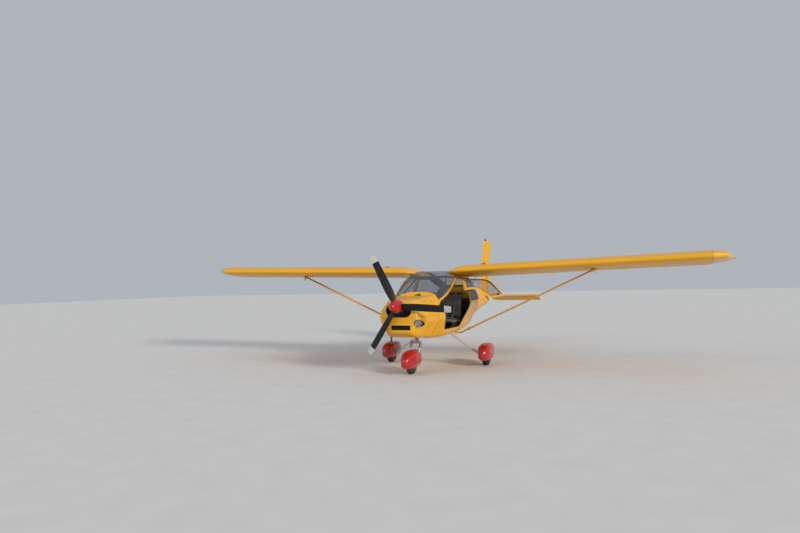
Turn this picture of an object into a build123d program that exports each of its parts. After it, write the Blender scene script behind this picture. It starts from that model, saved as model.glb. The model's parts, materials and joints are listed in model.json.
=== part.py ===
from build123d import *
from functools import lru_cache
import math
import os

os.makedirs("parts", exist_ok=True)

# A two-seat high-wing microlight aeroplane on a nosewheel gear, standing as it parks.
# Millimetres and degrees. +X is to port (the pilot's left), the nose points to -Y, the ground is Z = 0.

# Stations along the body and its main heights
cowl_front_y = -2780
firewall_y = -2200
deck_rear_y = -1950
cabin_rear_y = 500
tail_end_y = 2600
belly_z = 575
waist_z = 1150
deck_z = 1302
roof_z = 1700
cabin_half = 632
tail_top_z = 1128

# Body sections from front to back, one row each:
# (y, bottom half width, bottom z, waist half width, waist z, top half width, top z)
firewall_row = (firewall_y, 305, belly_z + 25, cabin_half - 87, waist_z - 125, 270, deck_z - 12)
deck_row = (deck_rear_y, 350, belly_z + 10, cabin_half - 40, waist_z - 65, 320, deck_z + 2)
bulkhead_row = (cabin_rear_y, 215, belly_z + 160, cabin_half - 232, waist_z - 50, 240, roof_z - 260)
cowl_rows = (
    (cowl_front_y, 190, belly_z + 160, cabin_half - 312, waist_z - 160, 185, deck_z - 107),
    (cowl_front_y + 90, 235, belly_z + 97, cabin_half - 222, waist_z - 155, 220, deck_z - 64),
    (cowl_front_y + 300, 275, belly_z + 53, cabin_half - 152, waist_z - 145, 250, deck_z - 34),
    firewall_row,
)
deck_rows = (firewall_row, deck_row)
cabin_rows = (
    deck_row,
    (deck_rear_y + 270, 390, belly_z, cabin_half - 10, waist_z - 20, 390, roof_z - 175),
    (deck_rear_y + 700, 410, belly_z, cabin_half, waist_z, 425, roof_z),
    (cabin_rear_y - 900, 370, belly_z + 30, cabin_half - 32, waist_z - 10, 420, roof_z - 10),
    bulkhead_row,
)
tail_rows = (
    bulkhead_row,
    ((cabin_rear_y + tail_end_y) / 2, 110, 880, 235, 1085, 130, 1250),
    (tail_end_y, 40, tail_top_z - 133, 85, tail_top_z - 63, 50, tail_top_z),
)
bottom_corner_share = 0.15
waist_corner_share = 0.36
top_corner_share = 0.17
cabin_wall = 12
cowl_wall = 5
tail_wall = 1.5
glass_thickness = 4

# Panel lines of the cabin in side view, as (y, z)
pillar_foot = (firewall_y + 15, deck_z - 184)
pillar_head = (deck_rear_y + 805, roof_z - 60)
sill_z = belly_z + 145
door_top_z = roof_z - 114
door_outline = (
    (firewall_y + 115, deck_z - 162),
    (deck_rear_y + 800, door_top_z),
    (-720, door_top_z),
    (-720, waist_z),
    (-1050, sill_z),
    (-1800, sill_z),
)
side_window_outline = (
    (-640, waist_z + 30),
    (-640, door_top_z - 11),
    (-170, door_top_z - 11),
    (300, roof_z - 300),
    (190, waist_z + 30),
)
# The painted deck runs back under the windscreen as a tongue, as (x, y) on the port side
tongue_outline = (
    (700, firewall_y - 300),
    (700, firewall_y + 40),
    (476, firewall_y + 180),
    (320, firewall_y + 270),
    (150, deck_rear_y + 60),
)
roof_window = (270, -1095, -190)
rear_window = (250, -90, 430)
rear_window_low_z = roof_z - 320

# Doors, hinged along the top edge
door_gap = 6
door_thickness = 24
door_frame_width = 46
door_glass_inset = 9
lining_inset = door_thickness + 12
door_hinge_x = 490
door_hinge_z = door_top_z + 8
door_open_angle = 70
knuckle_radius = 7
knuckle_length = 40
knuckle_gap = 6
knuckle_places = (-1080, -800)

# Cowl openings and landing light
cowl_split_z = 985
intake_width = 440
intake_height = 220
intake_z = 1085
lip_width = 9
lip_depth = 7
lower_intake_x = 30
lower_intake_z = 808
lower_intake_width = 330
lower_intake_height = 76
light_x = 318
light_z = 880
light_radius = 58
light_depth = 65
light_front_y = cowl_front_y + 35

# Engine, propeller and spinner
engine_width = 460
engine_length = 430
engine_height = 300
engine_z = 1000
engine_y = firewall_y - 270
shaft_radius = 25
gearbox_radius = 34
running_gap = 0.05
propeller_y = cowl_front_y - 82
propeller_z = 1157
blade_count = 3
blade_angle = -3.15
hub_radius = 62
hub_length = 58
shank_radius = 26
blade_hole_radius = 56
spinner_radius = 112
spinner_length = 262
spinner_wall = 4
spinner_back_y = propeller_y + 27
# Blade stations: (radius, chord, thickness, pitch angle)
blade_rows = (
    (70, 78, 44, 38),
    (230, 128, 24, 31),
    (520, 126, 14, 21),
    (780, 112, 9, 15),
    (912, 92, 6, 12),
)

# Wing
half_span = 5020
wing_chord = 1360
wing_thickness = 190
nose_radius = 42
crest_share = 0.33
upper_share = 0.74
leading_edge_y = -1385
leading_edge_z = roof_z
dihedral = 1.57
incidence = 4.0
wing_skin = 1.5
rib_thickness = 6
fairing_wall = 4
root_end_x = 315
panel_start_x = 610
panel_end_x = 4650
flaperon_share = 0.22
flaperon_nose = 44
flaperon_skin = 1.5
flaperon_end_gap = 14
hinge_n = 22
control_gap = 9
# Fairing stations: (x, chord, thickness, leading edge set back, lift)
tip_rows = (
    (panel_end_x, wing_chord, wing_thickness, 0, 0),
    (4850, wing_chord * 0.86, wing_thickness * 0.78, wing_chord * 0.11, 22),
    (half_span, wing_chord * 0.3, wing_thickness * 0.2, wing_chord * 0.66, 48),
)
root_rows = (
    (panel_start_x, wing_chord, wing_thickness, 0, 0),
    (440, wing_chord * 0.97, wing_thickness * 0.8, wing_chord * 0.02, -4),
    (root_end_x, wing_chord * 0.9, wing_thickness * 0.34, wing_chord * 0.07, -6),
)

# Lift struts and tie-down lugs
strut_top_x = 3000
strut_foot_x = 450
strut_foot_y = -915
strut_foot_z = belly_z + 5
strut_fitting = (-120, 15, 44, 26)
strut_chord = 76
strut_thickness = 30
lug_thickness = 6
lug_size = 44
lug_inboard = 130
lug_drop = 58
lug_hole_radius = 8

# Fin, rudder, tailplane and elevator
tailplane_z = tail_top_z + 32
tailplane_thickness = 48
# Stations out from the centre: (x, front y, rear y, thickness)
tailplane_rows = (
    (0, tail_end_y - 360, tail_end_y + 420, tailplane_thickness),
    (1200, tail_end_y - 235, tail_end_y + 420, tailplane_thickness * 0.72),
    (1250, tail_end_y - 200, tail_end_y + 400, tailplane_thickness * 0.3),
)
elevator_hinge_y = tail_end_y + 50
elevator_nose = 20
elevator_droop = 20
# Stations up the fin: (z, front y, rear y, thickness)
fin_rows = (
    (tailplane_z, tail_end_y - 561, tail_end_y + 283, 64),
    (2440, tail_end_y - 103, tail_end_y + 578, 46),
    (2490, tail_end_y - 70, tail_end_y + 582, 20),
)
rudder_hinge_share = 0.62
rudder_low_z = tailplane_z + 80
rudder_nose = 20
stay_top_z = 2010
stay_foot_x = 450
stay_chord = 46
stay_thickness = 16

# Landing gear
tyre_radius = 170
tyre_width = 110
tyre_shoulder = 8
rim_radius = 78
axle_radius = 10
main_wheel_x = 940
main_wheel_y = -985
leg_top_x = 300
leg_top_y = -1030
leg_width = 74
leg_thickness = 24
leg_foot_gap = 12
nose_wheel_y = -2290
fork_top_y = -2040
fork_top_z = belly_z - 70
fork_half_spread = 84
fork_tube_radius = 14
stem_radius = 18
socket_radius = 30
tow_pin_radius = 8
tow_pin_length = 16
spat_half_width = 112
spat_wall = 4
spat_ground_gap = 95
# Spat stations: (y from the axle, half width, bottom z, top z)
spat_rows = (
    (-335, 26, 168, 236),
    (-255, 84, 112, 340),
    (-60, spat_half_width, spat_ground_gap, 402),
    (170, 98, spat_ground_gap + 6, 392),
    (415, 20, 262, 318),
)

# Cabin fittings
seat_half = 195
seat_x = 245
seat_shell = 12
seat_leg = 6
seat_side = ((-1400, 800), (-1330, 760), (-900, 730), (-700, 1310))
floor_z = belly_z + 70
floor_thickness = 5
panel_y = deck_rear_y - 30
frame_tube_radius = 12

reach = 900
high = 2300


# Shared shapes


def block(x_low, x_high, y_low, y_high, z_low, z_high):
    centre = Pos((x_low + x_high) / 2, (y_low + y_high) / 2, (z_low + z_high) / 2)
    return centre * Box(x_high - x_low, y_high - y_low, z_high - z_low)


def rod(start, end, radius):
    start = Vector(*start)
    axis = Vector(*end) - start
    return extrude(Plane(origin=start, z_dir=axis) * Circle(radius), axis.length)


def mirrored(part):
    return mirror(part, Plane.YZ)


def both_sides(part):
    return part + mirrored(part)


def side_prism(points, x_low, x_high, growth=0):
    """A side-view outline of (y, z) points, grown outwards and given a width."""
    face = make_face(Polyline(*points, close=True))
    if growth:
        face = offset(face, growth, kind=Kind.INTERSECTION)
    face = Plane(origin=(x_low, 0, 0), x_dir=(0, 1, 0), z_dir=(1, 0, 0)) * face
    return extrude(face, x_high - x_low)


def body_section(row, inset):
    y, bottom_half, bottom_z, waist_half, waist, top_half, top_z = row
    height = top_z - bottom_z
    bottom = max(bottom_half - 0.8 * inset, 4)
    side = waist_half - inset
    top = max(top_half - 0.8 * inset, 4)
    low = bottom_z + inset
    upper = top_z - inset
    points = ((-bottom, low), (bottom, low), (side, waist), (top, upper), (-top, upper), (-side, waist))
    low_radius = bottom_corner_share * height
    side_radius = waist_corner_share * height
    top_radius = top_corner_share * height
    radii = (low_radius, low_radius, side_radius, top_radius, top_radius, side_radius)
    face = make_face(FilletPolyline(*points, radius=radii, close=True))
    return Plane(origin=(0, y, 0), x_dir=(1, 0, 0), z_dir=(0, -1, 0)) * face


def body_loft(rows, inset=0):
    return loft([body_section(row, inset) for row in rows])


@lru_cache
def cabin_solid(inset=0):
    return body_loft(deck_rows, inset) + body_loft(cabin_rows, inset)


def skin_between(outer_inset, inner_inset):
    return cabin_solid(outer_inset) - cabin_solid(inner_inset)


# Cabin shell, glazing and doors


def tongue_zone():
    points = list(tongue_outline) + [(-x, y) for x, y in reversed(tongue_outline)]
    face = make_face(Polyline(*points, close=True))
    return extrude(Pos(0, 0, sill_z) * face, high - sill_z)


def windscreen_zone():
    points = (pillar_foot, pillar_head, (pillar_head[0], high), (pillar_foot[0], high))
    return side_prism(points, -reach, reach) - tongue_zone()


def window_zone(window, low_z):
    half, front, rear = window
    return block(-half, half, front, rear, low_z, high)


def make_cabin():
    outer = cabin_solid()
    screen = windscreen_zone()
    roof = window_zone(roof_window, roof_z - 200)
    rear = window_zone(rear_window, rear_window_low_z)
    doorway = side_prism(door_outline, 300, reach)
    window = side_prism(side_window_outline, 300, reach)
    shell = outer - cabin_solid(cabin_wall)
    for zone in (screen, roof, rear, doorway, mirrored(doorway), window, mirrored(window)):
        shell = shell - zone
    front_wall = outer & block(-reach, reach, firewall_y, firewall_y + cabin_wall, 0, high)
    rear_wall = outer & block(-reach, reach, cabin_rear_y - cabin_wall, cabin_rear_y, 0, high)
    shell = shell + front_wall + rear_wall + both_sides(fixed_knuckles())
    glass = skin_between(0, glass_thickness)
    fairings = both_sides(place_wing(fairing(root_rows, 0)))
    nodes["cabin_shell"] = shell - fairings
    nodes["windscreen"] = (glass & screen) - fairings
    nodes["roof_glazing"] = ((glass & roof) + (glass & rear)) - fairings
    nodes["side_windows"] = both_sides(glass & window)


def knuckle(y, length):
    return Pos(door_hinge_x, y, door_hinge_z) * Rot(90, 0, 0) * Cylinder(knuckle_radius, length)


def fixed_knuckles():
    """The shell's half of each hinge, a short barrel on either side of the door's barrel."""
    half = knuckle_length / 2
    knuckles = Part()
    for place in knuckle_places:
        for side in (-1, 1):
            y = place + side * (0.75 * knuckle_length + knuckle_gap)
            knuckles = knuckles + knuckle(y, half)
            knuckles = knuckles + block(door_hinge_x - 22, door_hinge_x, y - half / 2, y + half / 2,
                                        door_hinge_z - 4, door_hinge_z + knuckle_radius)
    return knuckles


def make_doors():
    leaf = skin_between(0, door_thickness) & side_prism(door_outline, 300, reach, -door_gap)
    opening = side_prism(door_outline, 300, reach, -door_gap - door_frame_width)
    leaf = leaf - opening
    pane = skin_between(door_glass_inset, door_glass_inset + glass_thickness) & opening
    for place in knuckle_places:
        leaf = leaf + knuckle(place, knuckle_length)
        leaf = leaf + block(door_hinge_x - 6, door_hinge_x + 4, place - knuckle_length / 2,
                            place + knuckle_length / 2, door_hinge_z - 49, door_hinge_z)
    hinge = Axis((door_hinge_x, 0, door_hinge_z), (0, 1, 0))
    nodes["door_starboard"] = mirrored(leaf)
    nodes["door_starboard_glass"] = mirrored(pane)
    nodes["door_port"] = leaf.rotate(hinge, -door_open_angle)
    nodes["door_port_glass"] = pane.rotate(hinge, -door_open_angle)


# Cowl, engine, propeller


def front_plane(y):
    return Plane(origin=(0, y, 0), x_dir=(1, 0, 0), z_dir=(0, -1, 0))


def make_cowl():
    ahead = front_plane(cowl_front_y - 40)
    inside = body_loft(cowl_rows, cowl_wall)
    inside = inside & block(-reach, reach, cowl_front_y + cowl_wall, firewall_y, 0, high)
    cowl = body_loft(cowl_rows) - inside
    intake = Pos(0, intake_z) * SlotOverall(intake_width, intake_height)
    lower = RectangleRounded(lower_intake_width, lower_intake_height, 18)
    lower = Pos(lower_intake_x, lower_intake_z) * lower
    lip_face = Pos(0, intake_z) * SlotOverall(intake_width + 2 * lip_width, intake_height + 2 * lip_width)
    lip = extrude(front_plane(cowl_front_y + 2) * lip_face, lip_depth + 2)
    lamp_hole = Pos(light_x, light_z) * Circle(light_radius + 2)
    cowl = cowl + (lip & block(-reach, reach, -3000, 0, 0, deck_z - 107))
    cowl = cowl - extrude(ahead * intake, -120)
    cowl = cowl - extrude(ahead * lower, -220) - extrude(ahead * lamp_hole, -260)
    nodes["cowl_upper"] = cowl & block(-reach, reach, -3000, 0, cowl_split_z, high)
    nodes["cowl_lower"] = cowl & block(-reach, reach, -3000, 0, 0, cowl_split_z)


def make_landing_light():
    plane = front_plane(light_front_y)
    bowl = extrude(plane * Pos(light_x, light_z) * Circle(light_radius), -light_depth)
    hollow = Pos(light_x, light_front_y, light_z) * Rot(-90, 0, 0) * Cone(
        light_radius - 6, 18, light_depth - 8, align=(Align.CENTER, Align.CENTER, Align.MIN))
    nodes["landing_light"] = bowl - hollow


def make_engine():
    front_y = engine_y - engine_length / 2
    body = Pos(0, engine_y, engine_z) * Box(engine_width, engine_length, engine_height)
    hub_back_y = propeller_y + hub_length / 2
    gearbox = rod((0, front_y + 60, propeller_z), (0, hub_back_y + 12, propeller_z), gearbox_radius)
    shaft = rod((0, front_y + 1, propeller_z), (0, propeller_y, propeller_z), shaft_radius)
    nodes["engine_block"] = body + gearbox + shaft


def blade_section(row):
    """One blade section, a shallow lens of two arcs, turned to its pitch."""
    radius, chord, thickness, pitch = row
    half = chord / 2
    lower = ThreePointArc((-half, 0), (0, -0.15 * thickness), (half, 0))
    upper = ThreePointArc((half, 0), (0, 0.85 * thickness), (-half, 0))
    return Pos(0, 0, radius) * Rot(0, 0, pitch) * make_face([lower, upper])


def blade_turn(index):
    return Rot(0, 90 - blade_angle - 360 / blade_count * index, 0)


def make_propeller():
    upwards = (Align.CENTER, Align.CENTER, Align.MIN)
    blade = loft([blade_section(row) for row in blade_rows])
    propeller = Rot(90, 0, 0) * Cylinder(hub_radius, hub_length)
    core = Rot(90, 0, 0) * Cylinder(shaft_radius + 8, hub_length)
    shank = Cylinder(shank_radius, 90, align=upwards)
    for index in range(blade_count):
        turn = blade_turn(index)
        propeller = propeller + (turn * shank - core) + turn * blade
    bore = Pos(0, hub_length / 2, 0) * Rot(90, 0, 0) * Cylinder(shaft_radius + running_gap, hub_length + 2)
    nodes["propeller"] = Pos(0, propeller_y, propeller_z) * (propeller - bore)


def spinner_solid(radius, length):
    profile = make_face([
        Line((0, 0), (radius, 0)),
        Bezier((radius, 0), (radius, length * 0.5), (radius * 0.42, length), (0, length)),
        Line((0, length), (0, 0)),
    ])
    return revolve(profile, Axis.Y)


def make_spinner():
    upwards = (Align.CENTER, Align.CENTER, Align.MIN)
    inside = spinner_solid(spinner_radius - spinner_wall, spinner_length - 2 * spinner_wall)
    spinner = spinner_solid(spinner_radius, spinner_length) - Pos(0, spinner_wall, 0) * inside
    spinner = Pos(0, spinner_back_y, propeller_z) * Rot(180, 0, 0) * spinner
    for index in range(blade_count):
        hole = blade_turn(index) * Pos(0, 0, 60) * Cylinder(blade_hole_radius, 200, align=upwards)
        spinner = spinner - Pos(0, propeller_y, propeller_z) * hole
    back = (0, spinner_back_y + 2, propeller_z)
    nodes["spinner"] = spinner - rod(back, (0, propeller_y, propeller_z), hub_radius + running_gap)


# Wing, made flat with its leading edge on the X axis, then set at its dihedral and incidence


def crest_arc(start, crest):
    """The arc that leaves start and arrives level at the crest."""
    run = abs(start[0] - crest[0])
    drop = abs(start[1] - crest[1])
    radius = (run ** 2 + drop ** 2) / (2 * drop)
    half_turn = math.asin(run / radius) / 2
    side = math.copysign(1, start[0] - crest[0])
    lift = math.copysign(1, crest[1] - start[1])
    middle = (
        crest[0] + side * radius * math.sin(half_turn),
        crest[1] - lift * radius * (1 - math.cos(half_turn)),
    )
    return ThreePointArc(start, middle, crest)


def wing_face(x, chord, thickness, setback=0, lift=0, inset=0):
    start = (setback - 0.052 * chord + 2.2 * inset, lift)
    end = (setback + chord - 6 * inset, lift - 0.004 * chord)
    top = (setback + crest_share * chord, lift + upper_share * thickness - inset)
    low = (setback + crest_share * chord, lift - (1 - upper_share) * thickness + inset)
    face = make_face([crest_arc(start, top), crest_arc(end, top), crest_arc(end, low), crest_arc(start, low)])
    face = fillet(face.vertices().sort_by(Axis.X)[0], nose_radius * thickness / wing_thickness)
    return Plane(origin=(x, 0, 0), x_dir=(0, 1, 0), z_dir=(1, 0, 0)) * face


def place_wing(part):
    return Pos(0, leading_edge_y, leading_edge_z) * Rot(0, -dihedral, 0) * Rot(-incidence, 0, 0) * part


def fairing(rows, inset):
    return loft([wing_face(*row, inset=inset) for row in rows], ruled=True)


def hollow_fairing(rows):
    low_x = min(row[0] for row in rows) + rib_thickness
    high_x = max(row[0] for row in rows) - rib_thickness
    inside = fairing(rows, fairing_wall) & block(low_x, high_x, -400, 2000, -400, 400)
    return place_wing(fairing(rows, 0) - inside)


def full_panel(end_gap, inset):
    face = wing_face(panel_start_x + end_gap, wing_chord, wing_thickness, inset=inset)
    return extrude(face, panel_end_x - panel_start_x - 2 * end_gap)


flaperon_hinge_s = wing_chord * (1 - flaperon_share)
panel_rear_s = flaperon_hinge_s - flaperon_nose - control_gap


def chord_zone(front, rear):
    return block(0, half_span, front, rear, -400, 400)


def make_wings():
    panel = full_panel(0, 0) & chord_zone(-200, panel_rear_s)
    hollow = full_panel(rib_thickness, wing_skin) & chord_zone(-200, panel_rear_s - rib_thickness / 2)
    nodes["wing_port"] = place_wing(panel - hollow)
    nodes["wing_starboard"] = mirrored(nodes["wing_port"])
    nodes["wing_tips"] = both_sides(hollow_fairing(tip_rows))
    nodes["wing_roots"] = both_sides(hollow_fairing(root_rows))


def nose_bar(end_gap, radius):
    length = panel_end_x - panel_start_x - 2 * end_gap
    bar = Rot(0, 90, 0) * Cylinder(radius, length, align=(Align.CENTER, Align.CENTER, Align.MIN))
    return Pos(panel_start_x + end_gap, flaperon_hinge_s, hinge_n) * bar


def make_flaperons():
    rear = full_panel(flaperon_end_gap, 0) & chord_zone(flaperon_hinge_s, 2000)
    core_gap = flaperon_end_gap + rib_thickness
    core = full_panel(core_gap, flaperon_skin) & chord_zone(flaperon_hinge_s + flaperon_skin, 2000)
    nose_core = nose_bar(core_gap, flaperon_nose - flaperon_skin) & chord_zone(0, flaperon_hinge_s)
    flaperon = rear + nose_bar(flaperon_end_gap, flaperon_nose) - core - nose_core
    nodes["flaperon_port"] = place_wing(flaperon)
    nodes["flaperon_starboard"] = mirrored(nodes["flaperon_port"])


def lug(x, y, z, drop):
    """A plate across X with a hole near its lower end, hanging from z."""
    half = lug_size / 2
    eye = Pos(x + lug_thickness / 2, y, z - drop) * Rot(0, 90, 0)
    plate = block(x, x + lug_thickness, y - half, y + half, z - drop, z)
    return plate + eye * Cylinder(half, lug_thickness) - eye * Cylinder(lug_hole_radius, 4 * lug_thickness)


def strut_line():
    top = place_wing(Pos(strut_top_x, 0.42 * panel_rear_s, 0) * Box(1, 1, 1)).center()
    return Vector(strut_foot_x, strut_foot_y, strut_foot_z), top


def make_struts():
    foot, top = strut_line()
    plane = Plane(origin=foot, x_dir=(0, 1, 0), z_dir=top - foot)
    strut = extrude(plane * Ellipse(strut_chord / 2, strut_thickness / 2), (top - foot).length)
    inner, outer, fitting_width, fitting_height = strut_fitting
    strut = strut + block(foot.X + inner, foot.X + outer, foot.Y - fitting_width / 2, foot.Y + fitting_width / 2,
                          foot.Z - fitting_height / 2, foot.Z + fitting_height / 2)
    place = foot + (top - foot) * (1 - lug_inboard / (strut_top_x - strut_foot_x))
    strut = strut + lug(place.X, place.Y, place.Z, lug_drop)
    strut = strut - place_wing(full_panel(0, 0)) - cabin_solid()
    nodes["wing_struts"] = both_sides(strut)


# Tail


def lens_face(length, thickness):
    half = thickness / 2
    upper = ThreePointArc((0, 0), (0.4 * length, half), (length, 0))
    lower = ThreePointArc((length, 0), (0.4 * length, -half), (0, 0))
    return make_face([upper, lower])


def tailplane_face(x, front, rear, thickness):
    plane = Plane(origin=(x, front, tailplane_z), x_dir=(0, 1, 0), z_dir=(1, 0, 0))
    return plane * lens_face(rear - front, thickness)


def fin_face(z, front, rear, thickness):
    return Plane(origin=(0, front, z), x_dir=(0, 1, 0), z_dir=(0, 0, 1)) * lens_face(rear - front, thickness)


def rudder_hinge_point(row):
    z, front, rear, thickness = row
    return Vector(0, front + rudder_hinge_share * (rear - front), z)


def make_tail():
    cone = body_loft(tail_rows)
    inside = body_loft(tail_rows, tail_wall) & block(-reach, reach, cabin_rear_y + 2, tail_end_y - 3, 0, high)
    nodes["tail_cone"] = (cone - inside) + lug(-lug_thickness / 2, tail_end_y - 60, tail_top_z - 128, 34)
    surface = both_sides(loft([tailplane_face(*row) for row in tailplane_rows], ruled=True))
    front_end = elevator_hinge_y - elevator_nose - control_gap
    tailplane = surface & block(-2000, 2000, 2000, front_end, 1000, 1400)
    low = rudder_hinge_point(fin_rows[0])
    top = rudder_hinge_point(fin_rows[-1])
    up = (top - low).normalized()
    aft = Vector(0, up.Z, -up.Y)
    fin_surface = loft([fin_face(*row) for row in fin_rows], ruled=True)
    fin_plane = Plane(origin=low - aft * (rudder_nose + control_gap), x_dir=(1, 0, 0), z_dir=aft)
    fin = split(fin_surface, bisect_by=fin_plane, keep=Keep.BOTTOM)
    nodes["tailplane"] = tailplane - cone
    nodes["fin"] = fin - cone - tailplane
    rudder = split(fin_surface, bisect_by=Plane(origin=low, x_dir=(1, 0, 0), z_dir=aft), keep=Keep.TOP)
    rudder = rudder + rod(low, top, rudder_nose)
    nodes["rudder"] = rudder & block(-200, 200, 2000, 3400, rudder_low_z, fin_rows[-1][0])
    elevator = surface & block(-2000, 2000, elevator_hinge_y, 3400, 1000, 1400)
    half = tailplane_rows[1][0]
    post = rod((-half, elevator_hinge_y, tailplane_z), (half, elevator_hinge_y, tailplane_z), elevator_nose)
    notch = make_face(Polyline(
        (-60, elevator_hinge_y + 22), (60, elevator_hinge_y + 22), (260, 3300), (-260, 3300), close=True))
    elevator = elevator + post - extrude(Pos(0, 0, 1000) * notch, 400)
    nodes["elevator"] = elevator.rotate(Axis((0, elevator_hinge_y, tailplane_z), (1, 0, 0)), -elevator_droop)
    start = Vector(12, tail_end_y - 120, stay_top_z)
    end = Vector(stay_foot_x, tail_end_y - 60, tailplane_z)
    stay_plane = Plane(origin=start, x_dir=(0, 1, 0), z_dir=end - start)
    stay = extrude(stay_plane * Ellipse(stay_chord / 2, stay_thickness / 2), (end - start).length)
    nodes["tail_stays"] = both_sides(stay - fin - tailplane)


# Wheels, spats and legs


def tyre_shape():
    half = tyre_width / 2
    side = rim_radius + 22
    shoulder = tyre_radius - tyre_shoulder
    profile = make_face([
        Line((rim_radius, -0.62 * half), (side, -half)),
        ThreePointArc((side, -half), (tyre_radius - 20, -0.98 * half), (shoulder, -0.66 * half)),
        ThreePointArc((shoulder, -0.66 * half), (tyre_radius, 0), (shoulder, 0.66 * half)),
        ThreePointArc((shoulder, 0.66 * half), (tyre_radius - 20, 0.98 * half), (side, half)),
        Line((side, half), (rim_radius, 0.62 * half)),
        Line((rim_radius, 0.62 * half), (rim_radius, -0.62 * half)),
    ])
    return revolve(Plane.XZ * profile, Axis.Z)


def rim_shape():
    width = 0.62 * tyre_width
    dish_depth = 22
    rim = Cylinder(rim_radius, width) - Cylinder(axle_radius + running_gap, 2 * width)
    dish = Cylinder(rim_radius - 10, dish_depth) - Cylinder(24, dish_depth)
    for side in (-1, 1):
        rim = rim - Pos(0, 0, side * (width - dish_depth) / 2) * dish
    for index in range(5):
        rim = rim - Rot(0, 0, 72 * index) * Pos(47, 0, 0) * Cylinder(11, width)
    return rim


def make_wheels():
    tyre = tyre_shape()
    rim = rim_shape()
    places = {
        "nose": (0, nose_wheel_y),
        "port": (main_wheel_x, main_wheel_y),
        "starboard": (-main_wheel_x, main_wheel_y),
    }
    for name, (x, y) in places.items():
        place = Pos(x, y, tyre_radius) * Rot(0, 90, 0)
        nodes["tyre_" + name] = place * tyre
        nodes["rim_" + name] = place * rim


def spat_solid(inset):
    faces = []
    for y, half_width, low_z, high_z in spat_rows:
        width = 2 * (half_width - inset)
        height = high_z - low_z - 2 * inset
        plane = Plane(origin=(0, y, (low_z + high_z) / 2), x_dir=(1, 0, 0), z_dir=(0, -1, 0))
        faces.append(plane * RectangleRounded(width, height, 0.42 * min(width, height)))
    return loft(faces)


def spat_shell():
    inside = spat_solid(spat_wall) & block(-reach, reach, spat_rows[0][0] + 5, spat_rows[-1][0] - 10, 0, high)
    mouth = block(-tyre_width / 2 - 16, tyre_width / 2 + 16, -tyre_radius - 15, tyre_radius + 15, 0, 260)
    return spat_solid(0) - inside - mouth


def make_main_gear():
    spat = spat_shell() - Pos(-60, 0, tyre_radius) * Rot(0, 90, 0) * Cylinder(axle_radius, 200)
    nodes["spat_port"] = Pos(main_wheel_x, main_wheel_y, 0) * spat
    nodes["spat_starboard"] = mirrored(nodes["spat_port"])
    foot_x = main_wheel_x - spat_half_width - leg_foot_gap
    top = Vector(leg_top_x, leg_top_y, belly_z - 15)
    foot = Vector(foot_x, main_wheel_y, tyre_radius + 26)
    plane = Plane(origin=top, x_dir=(0, 1, 0), z_dir=foot - top)
    leg = extrude(plane * RectangleRounded(leg_width, leg_thickness, 10), (foot - top).length) - cabin_solid()
    knuckle = Pos(foot_x, main_wheel_y, tyre_radius + 8) * Box(leg_thickness, leg_width - 4, 60)
    axle_end = (main_wheel_x + 42, main_wheel_y, tyre_radius)
    axle = rod((foot_x, main_wheel_y, tyre_radius), axle_end, axle_radius)
    nodes["main_legs"] = both_sides(leg + knuckle + axle)


def steer_line():
    top = Vector(0, fork_top_y, fork_top_z)
    foot = Vector(0, nose_wheel_y, tyre_radius)
    return top, foot, (top - foot).normalized()


def fork_tubes(radius):
    tubes = Part()
    for side in (-1, 1):
        x = side * fork_half_spread
        tubes = tubes + rod((x, nose_wheel_y, tyre_radius), (x, fork_top_y, fork_top_z), radius)
    return tubes


def nose_axle(half_length, radius):
    return rod((-half_length, nose_wheel_y, tyre_radius), (half_length, nose_wheel_y, tyre_radius), radius)


def make_nose_gear():
    top, foot, direction = steer_line()
    crown = Plane(origin=top, x_dir=(1, 0, 0), z_dir=direction) * Box(2 * fork_half_spread + 50, 60, 26)
    crown = fillet(crown.edges(), 6)
    tow_end = spat_half_width + tow_pin_length
    axle = nose_axle(spat_half_width, axle_radius) + nose_axle(tow_end, tow_pin_radius)
    stem = rod(top, top + direction * 60, stem_radius)
    nodes["nose_fork"] = crown + fork_tubes(fork_tube_radius) + axle + stem
    socket = rod(top + direction * 19, top + direction * 180, socket_radius)
    socket = socket - rod(top, top + direction * 64, stem_radius + running_gap)
    nodes["nose_socket"] = socket - cabin_solid()
    axle_hole = Pos(0, nose_wheel_y, tyre_radius) * Rot(0, 90, 0) * Cylinder(axle_radius, 400)
    nodes["nose_spat"] = Pos(0, nose_wheel_y, 0) * spat_shell() - fork_tubes(fork_tube_radius + 1) - axle_hole


# Cabin fittings


def make_seats():
    shell_line = FilletPolyline(*seat_side, radius=60)
    shell_face = Plane(origin=(-seat_half, 0, 0), x_dir=(0, 1, 0), z_dir=(1, 0, 0)) * make_face(
        offset(shell_line, seat_shell / 2).edges())
    shell = extrude(shell_face, 2 * seat_half)
    seat = shell
    for side in (-1, 1):
        x = side * (seat_half - 60)
        seat = seat + block(x - seat_leg / 2, x + seat_leg / 2, -1300, -960, floor_z + floor_thickness, 760)
    nodes["seats"] = both_sides((Pos(seat_x, 0, 0) * seat) & cabin_solid(lining_inset))
    pan = block(-seat_half + 12, seat_half - 12, -1370, -930, 772, 842)
    back = Pos(0, -812, 1075) * Rot(-19, 0, 0) * Box(2 * seat_half - 24, 62, 440)
    pad = fillet(pan.edges(), 24) + fillet(back.edges(), 24)
    nodes["seat_cushions"] = both_sides(Pos(seat_x, 0, 0) * (pad - shell))


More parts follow.
